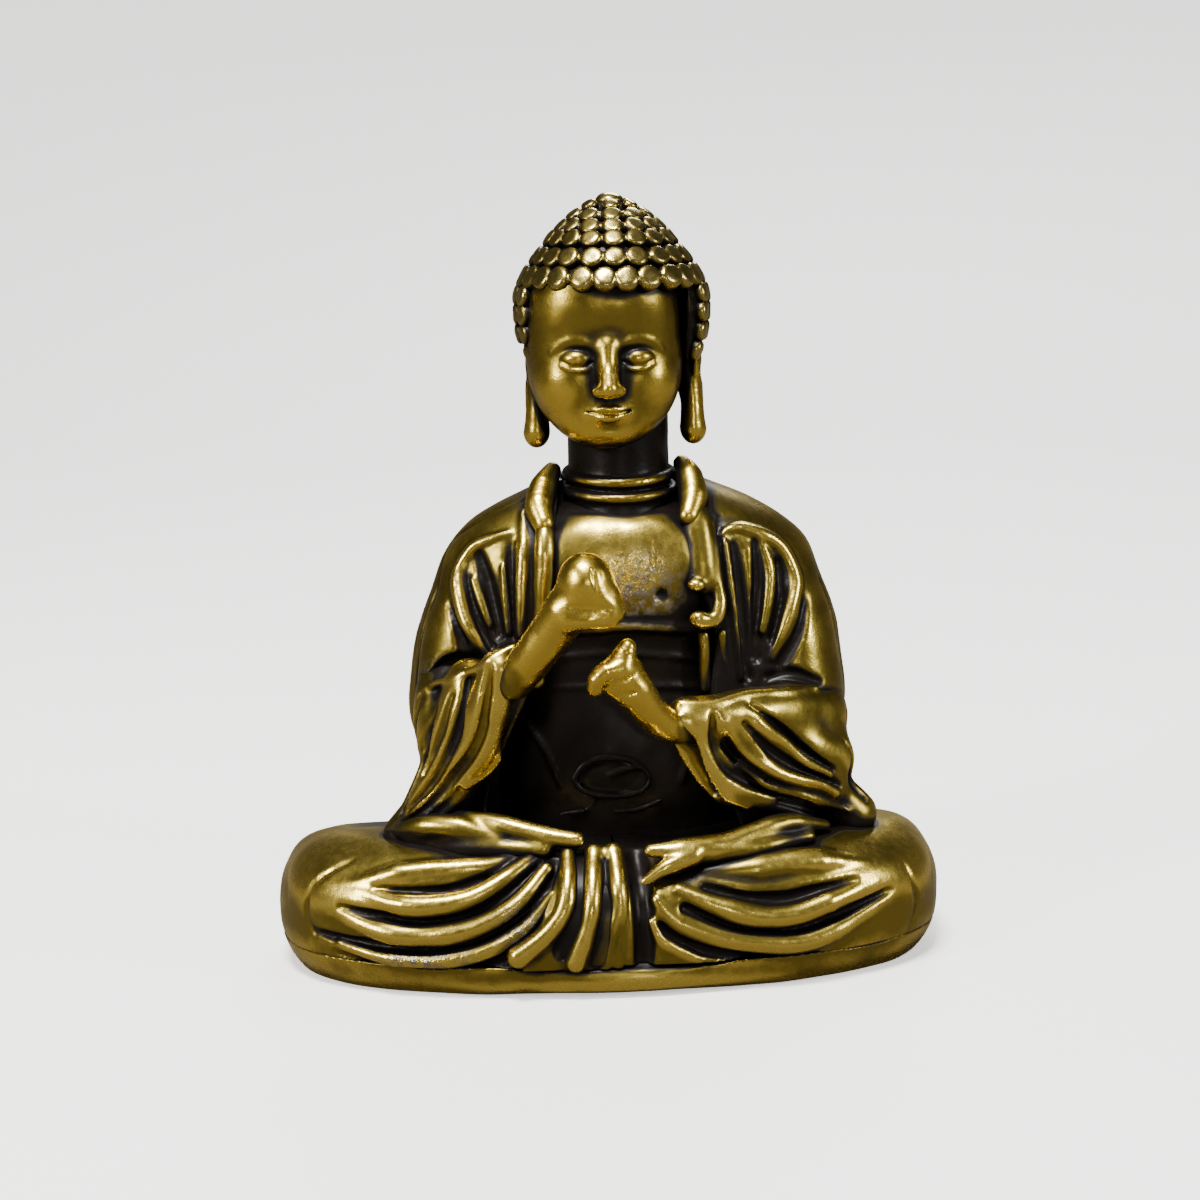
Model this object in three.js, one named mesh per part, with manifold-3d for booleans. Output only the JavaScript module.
// A seated buddha statuette in antiqued brass, 40 mm tall, put together from separately cast solid pieces.
// Millimetres, +Z up. The origin is at the middle of the underside and the figure faces -Y.
// "Right" and "left" are the figure's own, so its right hand is on the -X side.
import * as THREE from "three";
import { mergeVertices } from "three/addons/utils/BufferGeometryUtils.js";
import Module from "manifold-3d";

const wasm = await Module();
wasm.setup();

// ---- Driving dimensions ----
const GAP = 0.3; // solder gap between two castings that seat on each other

const RIM = { halfWidth: 16.0, halfDepth: 10.0, height: 1.7, bevel: 0.6, power: 2.5 };

const LEG = { kneeReach: 16.9, halfDepth: 9.1, height: 5.7, kneeHalfDepth: 5.2 };
const TORSO = { height: 17.6, halfWidth: 7.2, halfDepth: 4.7 };
const ROBE = { elbowHalfWidth: 11.2, halfDepth: 6.2, shoulderHalfWidth: 9.4 };
const NECK = { radius: 2.45, height: 3.0, spigotRadius: 1.25, spigotLength: 2.2, rings: 2 };
const HEAD = { height: 9.4, halfWidth: 3.55, halfDepth: 4.0, back: 0.2 };
const EAR = { length: 4.6, thickness: 0.62, width: 1.1, aboveChin: 0.9 };
const HAIR = { overSides: 1.45, overBack: 1.2, height: 5.1, brow: 0.82, nape: 0.3, roundness: 1.45 };
const CURL = { pitch: 1.22, overlap: 0.82, depth: 0.85, crownRadius: 1.35 };
const CURL_ROWS = { aboveBrow: 6, belowBrow: 4, faceAngle: 0.86 };
const FIST = { radius: 1.75, wristRadius: 1.05 };
const BAND = { halfWidth: 0.95, thickness: 0.55 };
const FLAP = { halfWidth: 0.9, length: 3.4, thickness: 0.75 };
const HEM = { radius: 0.95 };
const DRAPE = { topHalfWidth: 2.0, bottomHalfWidth: 3.6, thickness: 0.8 };
const KNOT = { radius: 1.7, cord: 0.5 };

// ---- Heights that follow from them ----
const LAP_TOP = RIM.height + LEG.height;
const LEG_MID = RIM.height + LEG.height * 0.42;
const TORSO_TOP = LAP_TOP + TORSO.height - 0.9;
const NECK_TOP = TORSO_TOP + NECK.height;
const CHIN = NECK_TOP - 0.6;
const CROWN = CHIN + HEAD.height;
const BROW = CHIN + HEAD.height * HAIR.brow;
const HAIR_X = HEAD.halfWidth + HAIR.overSides;
const HAIR_Y = HEAD.halfDepth + HAIR.overBack;
const CHEST_Y = 0.9; // the torso stands a little behind the middle of the lap

// ---- Making solids ----

// The x and y of one point on a rounded rectangle between an ellipse (power 2) and a box.
function ovalPoint(angle, halfX, halfY, power = 2) {
  const c = Math.cos(angle);
  const s = Math.sin(angle);
  const bend = 2 / power;
  return [halfX * Math.sign(c) * Math.abs(c) ** bend, halfY * Math.sign(s) * Math.abs(s) ** bend];
}

// A closed skin through rings that hold the same number of points, with a fan over each end.
function skin(rings) {
  const count = rings[0].length;
  const positions = rings.flat().flatMap((p) => [p.x, p.y, p.z]);
  const faces = [];
  for (let r = 0; r < rings.length - 1; r++) {
    for (let i = 0; i < count; i++) {
      const a = r * count + i;
      const b = r * count + ((i + 1) % count);
      faces.push(a, b, b + count, a, b + count, a + count);
    }
  }
  for (const [ring, flip] of [[0, true], [rings.length - 1, false]]) {
    const middle = rings[ring].reduce((sum, p) => sum.add(p), new THREE.Vector3()).divideScalar(count);
    const tip = positions.length / 3;
    positions.push(middle.x, middle.y, middle.z);
    for (let i = 0; i < count; i++) {
      const a = ring * count + i;
      const b = ring * count + ((i + 1) % count);
      faces.push(...(flip ? [b, a, tip] : [a, b, tip]));
    }
  }
  const geometry = new THREE.BufferGeometry();
  geometry.setAttribute("position", new THREE.Float32BufferAttribute(positions, 3));
  geometry.setIndex(faces);
  return geometry;
}

// A manifold-3d solid from a closed three.js geometry, turned inside out if it has to be.
function solid(geometry) {
  const bare = geometry.clone();
  bare.deleteAttribute("normal");
  bare.deleteAttribute("uv");
  const merged = mergeVertices(bare, 1e-4);
  const triVerts = new Uint32Array(merged.index.array);
  const vertProperties = new Float32Array(merged.attributes.position.array);
  const made = new wasm.Manifold(new wasm.Mesh({ numProp: 3, vertProperties, triVerts }));
  if (made.volume() >= 0) return made;
  for (let i = 0; i < triVerts.length; i += 3) {
    [triVerts[i + 1], triVerts[i + 2]] = [triVerts[i + 2], triVerts[i + 1]];
  }
  return new wasm.Manifold(new wasm.Mesh({ numProp: 3, vertProperties, triVerts }));
}

// Level rings piled up: each level is {z, x, y, halfX, halfY, power}. "grow" moves the skin outwards.
function pile(levels, grow = 0, sides = 24) {
  const last = levels.length - 1;
  return solid(
    skin(
      levels.map((level, i) => {
        const z = level.z + (i === 0 ? -grow : i === last ? grow : 0);
        return Array.from({ length: sides }, (_, k) => {
          const angle = (2 * Math.PI * k) / sides;
          const [x, y] = ovalPoint(angle, level.halfX + grow, level.halfY + grow, level.power);
          return new THREE.Vector3((level.x ?? 0) + x, (level.y ?? 0) + y, z);
        });
      }),
    ),
  );
}

// A limb along a smooth curve. Stations are {at: [x, y, z], wide, thick}; "wide" lies across "up".
function limb(stations, grow = 0, { up = [0, 0, 1], steps = 8, sides = 12, endSteps = 2 } = {}) {
  const curve = new THREE.CatmullRomCurve3(stations.map((s) => new THREE.Vector3(...s.at)));
  const upward = new THREE.Vector3(...up);
  const between = (key, t) => {
    const place = t * (stations.length - 1);
    const i = Math.min(Math.floor(place), stations.length - 2);
    return THREE.MathUtils.lerp(stations[i][key], stations[i + 1][key], place - i);
  };
  const ring = (t, along, share) => {
    const tangent = curve.getTangent(t);
    const across = new THREE.Vector3().crossVectors(tangent, upward).normalize();
    const over = new THREE.Vector3().crossVectors(across, tangent);
    const centre = curve.getPoint(t).addScaledVector(tangent, along);
    const [halfWide, halfThick] = [between("wide", t) + grow, between("thick", t) + grow];
    return Array.from({ length: sides }, (_, k) => {
      const [a, b] = ovalPoint((2 * Math.PI * k) / sides, halfWide, halfThick);
      return centre.clone().addScaledVector(across, a * share).addScaledVector(over, b * share);
    });
  };
  const rings = [];
  const dome = (t, sign) =>
    Array.from({ length: endSteps }, (_, i) => {
      const turn = (((i + 1) / (endSteps + 0.35)) * Math.PI) / 2;
      const reach = (Math.min(between("wide", t), between("thick", t)) + grow) * Math.sin(turn);
      return ring(t, sign * reach, Math.cos(turn));
    });
  rings.push(...dome(0, -1).reverse());
  for (let i = 0; i <= steps; i++) rings.push(ring(i / steps, 0, 1));
  rings.push(...dome(1, 1));
  return solid(skin(rings));
}

function ball(x, y, z, halfX, halfY, halfZ, grow = 0) {
  const geometry = new THREE.SphereGeometry(1, 14, 8);
  geometry.scale(halfX + grow, halfY + grow, halfZ + grow);
  geometry.translate(x, y, z);
  return solid(geometry);
}

function block(low, high) {
  const size = high.map((v, i) => v - low[i]);
  const geometry = new THREE.BoxGeometry(...size);
  geometry.translate(...low.map((v, i) => v + size[i] / 2));
  return solid(geometry);
}

// An oval plate standing on z = base, its edges rounded by "bevel".
function ovalPlate(halfX, halfY, base, height, bevel, power = RIM.power, sides = 40) {
  const shape = new THREE.Shape(
    Array.from({ length: sides }, (_, k) => {
      const angle = (2 * Math.PI * k) / sides;
      return new THREE.Vector2(...ovalPoint(angle, halfX - bevel, halfY - bevel, power));
    }),
  );
  const geometry = new THREE.ExtrudeGeometry(shape, {
    depth: height - 2 * bevel,
    bevelEnabled: bevel > 0,
    bevelSize: bevel,
    bevelThickness: bevel,
    bevelSegments: 2,
    steps: 1,
  });
  geometry.translate(0, 0, base + bevel);
  return solid(geometry);
}

const FAR = 60; // longer than the whole figure, for the blocks that trim it
const below = (z) => block([-FAR, -FAR, -FAR], [FAR, FAR, z]);

function cut(body, ...tools) {
  return tools.reduce((left, tool) => left.subtract(tool), body);
}

// The largest of the bodies that a cut leaves, so that no crumb stays in the node.
function largest(body) {
  return body.decompose().sort((a, b) => b.volume() - a.volume())[0];
}

// ---- The seat: a rounded rim that the folded legs stand on ----

const seatRim = () => ovalPlate(RIM.halfWidth, RIM.halfDepth, 0, RIM.height, RIM.bevel);

// ---- The folded legs, one casting each, meeting on the middle line ----

function lapShape(grow = 0) {
  const half = LEG.height * 0.55;
  const reach = LEG.kneeReach - half * 0.8;
  const station = (share, y, halfDepth, halfHeight) => ({
    at: [reach * share, y, LEG_MID],
    wide: halfDepth,
    thick: halfHeight,
  });
  const shin = { share: 0.68, y: -0.1, halfDepth: LEG.halfDepth * 0.9 };
  return limb(
    [
      station(-1, -0.4, LEG.kneeHalfDepth, half * 0.86),
      station(-shin.share, shin.y, shin.halfDepth, half),
      station(-0.3, 0, LEG.halfDepth, half),
      station(0.3, 0, LEG.halfDepth, half),
      station(shin.share, shin.y, shin.halfDepth, half),
      station(1, -0.4, LEG.kneeHalfDepth, half * 0.86),
    ],
    grow,
    { steps: 11, sides: 18, endSteps: 3 },
  );
}

function leg(side) {
  const inner = side > 0 ? [-FAR, GAP / 2] : [-GAP / 2, FAR];
  const otherSide = block([inner[0], -FAR, -FAR], [inner[1], FAR, FAR]);
  return largest(cut(lapShape(), otherSide, below(RIM.height)));
}

// ---- Torso and neck ----

function torsoShape(grow = 0) {
  const { halfWidth: w, halfDepth: d, height: h } = TORSO;
  const level = (share, halfX, halfY, y = CHEST_Y) => ({
    z: LAP_TOP - 1.6 + (h + 0.7) * share,
    y,
    halfX,
    halfY,
    power: 2.2,
  });
  return pile(
    [
      level(0, w, d),
      level(0.22, w * 0.94, d),
      level(0.5, w * 0.9, d * 0.98),
      level(0.74, w * 0.95, d),
      level(0.89, w * 0.78, d * 0.85),
      level(1, w * 0.46, d * 0.66),
    ],
    grow,
  );
}

function neckProfile(grow = 0) {
  const { radius, height, spigotRadius, spigotLength, rings } = NECK;
  const points = [
    [0, -spigotLength - grow],
    [spigotRadius + grow, -spigotLength - grow],
    [spigotRadius + grow, -grow],
  ];
  const ringHeight = height / (rings + 1.6);
  for (let i = 0; i < rings; i++) {
    const foot = i * ringHeight;
    points.push([radius * (0.96 - 0.04 * i) + grow, foot - (i === 0 ? grow : 0)]);
    points.push([radius * (1.08 - 0.05 * i) + grow, foot + ringHeight / 2]);
  }
  points.push([radius * 0.88 + grow, rings * ringHeight]);
  points.push([radius * 0.84 + grow, height + grow]);
  points.push([spigotRadius + grow, height + grow]);
  points.push([spigotRadius + grow, height + spigotLength * 0.8 + grow]);
  points.push([0, height + spigotLength * 0.8 + grow]);
  const geometry = new THREE.LatheGeometry(points.map(([r, z]) => new THREE.Vector2(r, z)), 18);
  geometry.rotateX(Math.PI / 2);
  geometry.translate(0, CHEST_Y - 0.4, TORSO_TOP);
  return solid(geometry);
}

function torso() {
  return largest(cut(torsoShape(), lapShape(GAP), neckProfile(GAP)));
}

// ---- Head, ears and hair ----

function headShape(grow = 0) {
  const { height: h, halfWidth: w, halfDepth: d, back } = HEAD;
  const level = (share, halfX, halfY, y) => ({ z: CHIN + h * share, y: y + back, halfX, halfY, power: 2.15 });
  return pile(
    [
      level(0, w * 0.3, d * 0.34, -d * 0.42),
      level(0.08, w * 0.66, d * 0.68, -d * 0.2),
      level(0.26, w * 0.93, d * 0.93, -d * 0.04),
      level(0.52, w, d, 0),
      level(0.78, w * 0.97, d, 0.02 * d),
      level(0.93, w * 0.7, d * 0.74, 0.02 * d),
      level(1, w * 0.36, d * 0.4, 0.02 * d),
    ],
    grow,
    20,
  );
}

// Half width and half depth of the hair's skin at a height, from the nape to the peak.
function hairSize(z) {
  const peak = BROW + HAIR.height;
  const nape = CHIN + HEAD.height * HAIR.nape;
  if (z < BROW) {
    const share = (BROW - z) / (BROW - nape);
    const pull = 1 - 0.14 * share ** 2;
    return [HAIR_X * pull, HAIR_Y * pull];
  }
  const share = Math.min((z - BROW) / (peak - BROW), 1);
  const pull = Math.max(1 - share ** HAIR.roundness, 0.02);
  return [HAIR_X * pull, HAIR_Y * pull];
}

function faceOpening(grow = 0) {
  const brow = BROW - CURL.pitch * 0.45 - grow;
  return pile([
    { z: CHIN - 4, y: HEAD.back - 8, halfX: HEAD.halfWidth - grow, halfY: 8.4 - grow, power: 5 },
    { z: brow, y: HEAD.back - 8, halfX: HEAD.halfWidth - grow, halfY: 8.4 - grow, power: 5 },
  ]);
}

function hairShape(grow = 0) {
  const nape = CHIN + HEAD.height * HAIR.nape;
  const peak = BROW + HAIR.height - CURL.depth;
  const shares = [0, 0.2, 0.4, 0.55, 0.68, 0.8, 0.9, 0.965];
  return pile(
    shares.map((share) => {
      const z = nape + (peak - nape) * share;
      const outer = hairSize(z + (share > 0.5 ? CURL.depth * 0.4 : 0));
      const [halfX, halfY] = outer.map((half) => Math.max(half - CURL.depth, 0.3));
      return { z, y: HEAD.back, halfX, halfY };
    }),
    grow,
    24,
  );
}

function hairCap() {
  return largest(cut(hairShape(), headShape(GAP), faceOpening(), neckProfile(GAP)));
}

// A row of snail curls: a ring with one bump for each curl, open over the face below the brow.
function curlRow(row) {
  const fromBrow = row - CURL_ROWS.belowBrow;
  const above = fromBrow >= 0;
  const rise = above ? (HAIR.height - CURL.depth * 0.5) / CURL_ROWS.aboveBrow : CURL.pitch * CURL.overlap;
  const low = BROW + fromBrow * rise + GAP / 2;
  const high = low + rise - GAP;
  const outer = (z, ease) => hairSize(z + ease);
  const [lowX, lowY] = outer(low, 0);
  const [highX, highY] = outer(high, 0);
  const middleRing = (lowX + highX) / 2;
  const open = above ? 0 : CURL_ROWS.faceAngle;
  const turn = 2 * Math.PI - 2 * open;
  const curls = Math.max(Math.round((turn * middleRing) / CURL.pitch), 5);
  const start = -Math.PI / 2 + open;
  const bump = [0.6, 1]; // share of the curl's depth in the valley beside it and at its middle
  const count = curls * bump.length + (above ? 0 : 1);
  const corners = (i) => {
    const angle = start + (turn * i) / (curls * bump.length);
    const swell = bump[i % bump.length];
    const at = (halfX, halfY, z) => {
      const [x, y] = ovalPoint(angle, Math.max(halfX, 0.25), Math.max(halfY, 0.25));
      return new THREE.Vector3(x, y + HEAD.back, z);
    };
    const inside = CURL.depth - GAP;
    return [
      at(lowX - inside, lowY - inside, low),
      at(lowX + CURL.depth * (swell - 1), lowY + CURL.depth * (swell - 1), low),
      at(highX + CURL.depth * (swell - 1), highY + CURL.depth * (swell - 1), high),
      at(highX - inside, highY - inside, high),
    ];
  };
  const sections = Array.from({ length: count }, (_, i) => corners(i));
  return above ? closedRing(sections) : solid(skin(sections));
}

// Sections joined end to end into a ring.
function closedRing(sections) {
  const size = sections[0].length;
  const positions = sections.flat().flatMap((p) => [p.x, p.y, p.z]);
  const faces = [];
  sections.forEach((_, s) => {
    const next = (s + 1) % sections.length;
    for (let i = 0; i < size; i++) {
      const j = (i + 1) % size;
      faces.push(s * size + i, s * size + j, next * size + j, s * size + i, next * size + j, next * size + i);
    }
  });
  const geometry = new THREE.BufferGeometry();
  geometry.setAttribute("position", new THREE.Float32BufferAttribute(positions, 3));
  geometry.setIndex(faces);
  return solid(geometry);
}

function crownCurl() {
  const peak = BROW + HAIR.height;
  const radius = CURL.crownRadius;
  const dome = ball(0, HEAD.back, peak - radius * 0.75, radius, radius, radius * 0.75);
  return largest(cut(dome, hairShape(GAP), below(peak - radius)));
}

function ear(side) {
  const x = side * (HEAD.halfWidth + EAR.thickness * 0.7);
  const lobe = CHIN + EAR.aboveChin;
  const shape = limb(
    [
      { at: [x * 0.99, HEAD.back + 0.4, lobe + EAR.length], wide: EAR.thickness, thick: EAR.width },
      { at: [x * 1.01, HEAD.back + 0.5, lobe + EAR.length / 2], wide: EAR.thickness, thick: EAR.width * 0.8 },
      { at: [x * 0.97, HEAD.back + 0.2, lobe], wide: EAR.thickness, thick: EAR.width * 0.9 },
    ],
    0,
    { up: [0, 1, 0], steps: 5, sides: 10 },
  );
  return largest(cut(shape, headShape(GAP), hairShape(GAP), curlsBesideFace()));
}

// The space that the rows of curls beside the face take up, kept clear of the ears.
function curlsBesideFace() {
  const lowest = BROW - CURL_ROWS.belowBrow * CURL.pitch * CURL.overlap - GAP / 2;
  const ring = pile([
    { z: lowest, y: HEAD.back, halfX: HAIR_X + GAP, halfY: HAIR_Y + GAP },
    { z: BROW + 1, y: HEAD.back, halfX: HAIR_X + GAP, halfY: HAIR_Y + GAP },
  ]);
  return cut(ring, faceOpening(GAP * 2));
}

// ---- The outer robe over the back, shoulders and upper arms ----

function robeShape(grow = 0) {
  const { elbowHalfWidth: e, halfDepth: d, shoulderHalfWidth: s } = ROBE;
  const top = TORSO_TOP + 0.7;
  const elbow = LAP_TOP + TORSO.height * 0.3;
  const level = (z, halfX, halfY, y = CHEST_Y) => ({ z, y, halfX, halfY, power: 2.3 });
  return pile(
    [
      level(LAP_TOP - 1.6, e * 1.08, d),
      level(LAP_TOP + 1.0, e * 0.93, d * 0.95),
      level(elbow - 1, e * 0.96, d * 0.95),
      level(elbow + 1.4, e, d * 0.95),
      level((elbow + top) / 2, (e + s) / 2 + 0.3, d * 0.93),
      level(top - 3.8, s, d * 0.86),
      level(top - 2.4, s * 0.84, d * 0.8),
      level(top - 1.2, s * 0.6, d * 0.7),
      level(top, s * 0.36, d * 0.5),
    ],
    grow,
    28,
  );
}

// What the robe leaves open in front: a tall gap that shows the chest, wider towards the lap.
function robeOpening(grow = 0) {
  const w = TORSO.halfWidth;
  const level = (share, halfX) => ({
    z: LAP_TOP - 3 + (TORSO.height + 5) * share,
    y: CHEST_Y - 10,
    halfX: halfX + grow,
    halfY: 9.7 + grow,
    power: 5,
  });
  return pile([level(0, w * 1.02), level(0.45, w * 0.86), level(0.8, w * 0.56), level(1, w * 0.42)], 0, 20);
}

function outerRobe() {
  return largest(cut(robeShape(), torsoShape(GAP), robeOpening(), lapShape(GAP), neckProfile(GAP)));
}

// ---- Neckline bands and the collar flaps above them ----

function bandShape(side, grow = 0) {
  const x = TORSO.halfWidth * 0.52;
  const y = CHEST_Y - TORSO.halfDepth - BAND.thickness;
  const foot = LAP_TOP + TORSO.height * 0.4;
  const station = (z, outX, backward) => ({
    at: [side * outX, y + backward, z],
    wide: BAND.halfWidth,
    thick: BAND.thickness,
  });
  return limb(
    [
      station(foot, x * 1.12, 0.3),
      station((foot + TORSO_TOP) / 2, x * 1.06, 0),
      station(TORSO_TOP - 2.6, x * 0.98, 0.6),
    ],
    grow,
    { up: [0, 1, 0], steps: 6, sides: 10 },
  );
}

function neckBand(side) {
  return largest(cut(bandShape(side), robeGrown(), torsoShape(GAP)));
}

// The robe as it stands, grown by the gap, for what lies against it.
const robeGrown = () => cut(robeShape(GAP), robeOpening(-GAP));

function flapShape(side, grow = 0) {
  const x = NECK.radius + FLAP.halfWidth;
  const y = CHEST_Y - 1.6;
  const station = (share, outward, forward, width) => ({
    at: [side * (x + outward), y - forward, TORSO_TOP + 1.4 - FLAP.length * share],
    wide: FLAP.halfWidth * width,
    thick: FLAP.thickness,
  });
  return limb([station(0, -0.5, 0, 0.8), station(0.5, 0.1, 1.5, 1), station(1, 0.6, 2.7, 0.85)], grow, {
    up: [0, 1, 0],
    steps: 5,
    sides: 10,
  });
}

function collarFlap(side) {
  const tools = [torsoShape(GAP), robeGrown(), neckProfile(GAP), bandShape(side, GAP), headShape(GAP)];
  return largest(cut(flapShape(side), ...tools));
}

// ---- Sleeves and hands ----

// Where each wrist comes out of its sleeve. The right hand is held higher than the left.
const WRIST = { "-1": [-4.8, -6.5, LAP_TOP + 9.4], 1: [2.9, -6.5, LAP_TOP + 6.4] };

function sleeveShape(side, grow = 0) {
  const [wristX, wristY, wristZ] = WRIST[side];
  const elbowX = side * (ROBE.elbowHalfWidth - 2.9);
  const elbowY = CHEST_Y - 2.6;
  const elbowZ = LAP_TOP + TORSO.height * 0.3;
  const middle = [(elbowX + wristX) / 2 + side * 0.4, (elbowY + wristY) / 2, (elbowZ + wristZ) / 2];
  const forearm = limb(
    [
      { at: [elbowX, elbowY, elbowZ], wide: 2.5, thick: 2.7 },
      { at: middle, wide: 2.2, thick: 2.2 },
      { at: [wristX + side * 0.9, wristY + 0.4, wristZ - 0.8], wide: 1.7, thick: 1.8 },
    ],
    grow,
    { steps: 4, sides: 12 },
  );
  const fall = pile(
    [
      { z: LAP_TOP - 0.8, x: side * 9.3, y: -2.2, halfX: 3.4, halfY: 3.4 },
      { z: LAP_TOP + 2, x: side * 8.4, y: -3, halfX: 2.7, halfY: 3.5 },
      { z: elbowZ, x: side * 7.7, y: -3.7, halfX: 2.6, halfY: 3.3 },
      { z: elbowZ + 1.8, x: side * 7.5, y: -3.7, halfX: 1.8, halfY: 2.2 },
    ],
    grow,
    12,
  );
  return forearm.add(fall);
}

function handShape(side, grow = 0) {
  const [x, y, z] = WRIST[side];
  const reach = side < 0 ? [3.1, -1.4, 3.9] : [-2.6, -1.2, 3.0];
  const tip = [x + reach[0], y + reach[1], z + reach[2]];
  const size = side < 0 ? FIST.radius : FIST.radius * 0.82;
  const wrist = FIST.wristRadius;
  const inSleeve = [x - reach[0] * 0.42, y - reach[1] * 0.42, z - reach[2] * 0.42]; // a tenon
  const arm = limb(
    [
      { at: inSleeve, wide: wrist * 0.9, thick: wrist * 0.9 },
      { at: [x, y, z], wide: wrist, thick: wrist },
      { at: tip, wide: size * 0.85, thick: size * 0.85 },
    ],
    grow,
    { steps: 5, sides: 12 },
  );
  return arm.add(ball(tip[0], tip[1], tip[2] + 0.2, size, size * 0.92, size * 1.08, grow));
}

function sleeve(side) {
  const tools = [robeGrown(), torsoShape(GAP), lapShape(GAP), handShape(side, GAP), bandShape(side, GAP)];
  return largest(cut(sleeveShape(side), ...tools));
}

function hand(side) {
  return largest(cut(handShape(side), torsoShape(GAP), bandShape(side, GAP)));
}

// ---- Trim: sash knot, front drape and the hems on the lap ----

function sashKnot() {
  const geometry = new THREE.TorusGeometry(KNOT.radius, KNOT.cord, 8, 20);
  geometry.scale(1.25, 0.72, 1);
  geometry.rotateX(Math.PI / 2.25);
  geometry.translate(0, CHEST_Y - TORSO.halfDepth - KNOT.cord * 1.1, LAP_TOP + 2.9);
  return largest(cut(solid(geometry), torsoShape(GAP), lapShape(GAP)));
}

function frontDrape() {
  const top = LAP_TOP - 0.9;
  const front = -LEG.halfDepth;
  const level = (z, halfX, y, halfY) => ({ z, x: -0.8, y, halfX, halfY, power: 3 });
  const shape = pile([
    level(RIM.height, DRAPE.bottomHalfWidth, front + 0.5, DRAPE.thickness + 0.3),
    level((RIM.height + top) / 2, DRAPE.topHalfWidth * 1.1, front + 0.4, DRAPE.thickness + 0.3),
    level(top - 0.6, DRAPE.topHalfWidth, front + 1.1, DRAPE.thickness + 0.6),
    level(top + 0.4, DRAPE.topHalfWidth * 0.8, front + 3.0, DRAPE.thickness + 0.9),
  ]);
  return largest(cut(shape, lapShape(GAP), torsoShape(GAP), lapHemShape(-1, GAP), lapHemShape(1, GAP)));
}

function lapHemShape(side, grow = 0) {
  const z = LAP_TOP - 0.15;
  const from = side < 0 ? [-2.2, -5.9, z - 0.2] : [1.6, -7.0, z - 0.75];
  const to = side < 0 ? [-12.2, -4.2, z - 0.7] : [11.0, -4.4, z - 0.6];
  const middle = [(from[0] + to[0]) / 2, Math.min(from[1], to[1]) + 0.1, z + 0.15];
  return limb(
    [
      { at: from, wide: HEM.radius, thick: HEM.radius * 0.75 },
      { at: middle, wide: HEM.radius * 1.15, thick: HEM.radius },
      { at: to, wide: HEM.radius * 0.8, thick: HEM.radius * 0.7 },
    ],
    grow,
    { steps: 7, sides: 10 },
  );
}

function lapHem(side) {
  return largest(cut(lapHemShape(side), lapShape(GAP), torsoShape(GAP), sleeveShape(side, GAP)));
}

// ---- The assembly ----

const FINISH = {
  polished: { color: 0xa8842c, roughness: 0.3, metalness: 1 },
  robe: { color: 0x8a6b24, roughness: 0.36, metalness: 1 },
  dark: { color: 0x2a2112, roughness: 0.5, metalness: 0.8 },
};

const statue = new THREE.Group();

function place(name, body, finish) {
  const made = body.getMesh();
  const geometry = new THREE.BufferGeometry();
  geometry.setAttribute("position", new THREE.Float32BufferAttribute(made.vertProperties, 3));
  geometry.setIndex([...made.triVerts]);
  geometry.computeVertexNormals();
  const mesh = new THREE.Mesh(geometry, new THREE.MeshStandardMaterial(FINISH[finish]));
  mesh.name = name;
  statue.add(mesh);
}

place("seat_rim", seatRim(), "polished");
place("torso", torso(), "robe");
place("neck", neckProfile(), "polished");
place("head", cut(headShape(), neckProfile(GAP)), "polished");
place("hair_cap", hairCap(), "dark");
for (let row = 0; row < CURL_ROWS.belowBrow + CURL_ROWS.aboveBrow - 1; row++) {
  place(`curl_row_${row + 1}`, curlRow(row), "polished");
}
place("crown_curl", crownCurl(), "polished");
place("outer_robe", outerRobe(), "robe");
place("sash_knot", sashKnot(), "dark");
place("front_drape", frontDrape(), "robe");
for (const [side, name] of [[-1, "right"], [1, "left"]]) {
  place(`${name}_leg`, leg(side), "robe");
  place(`${name}_ear`, ear(side), "polished");
  place(`${name}_neck_band`, neckBand(side), "robe");
  place(`${name}_collar_flap`, collarFlap(side), "polished");
  place(`${name}_sleeve`, sleeve(side), "robe");
  place(`${name}_hand`, hand(side), "polished");
  place(`${name}_lap_hem`, lapHem(side), "robe");
}

export default statue;
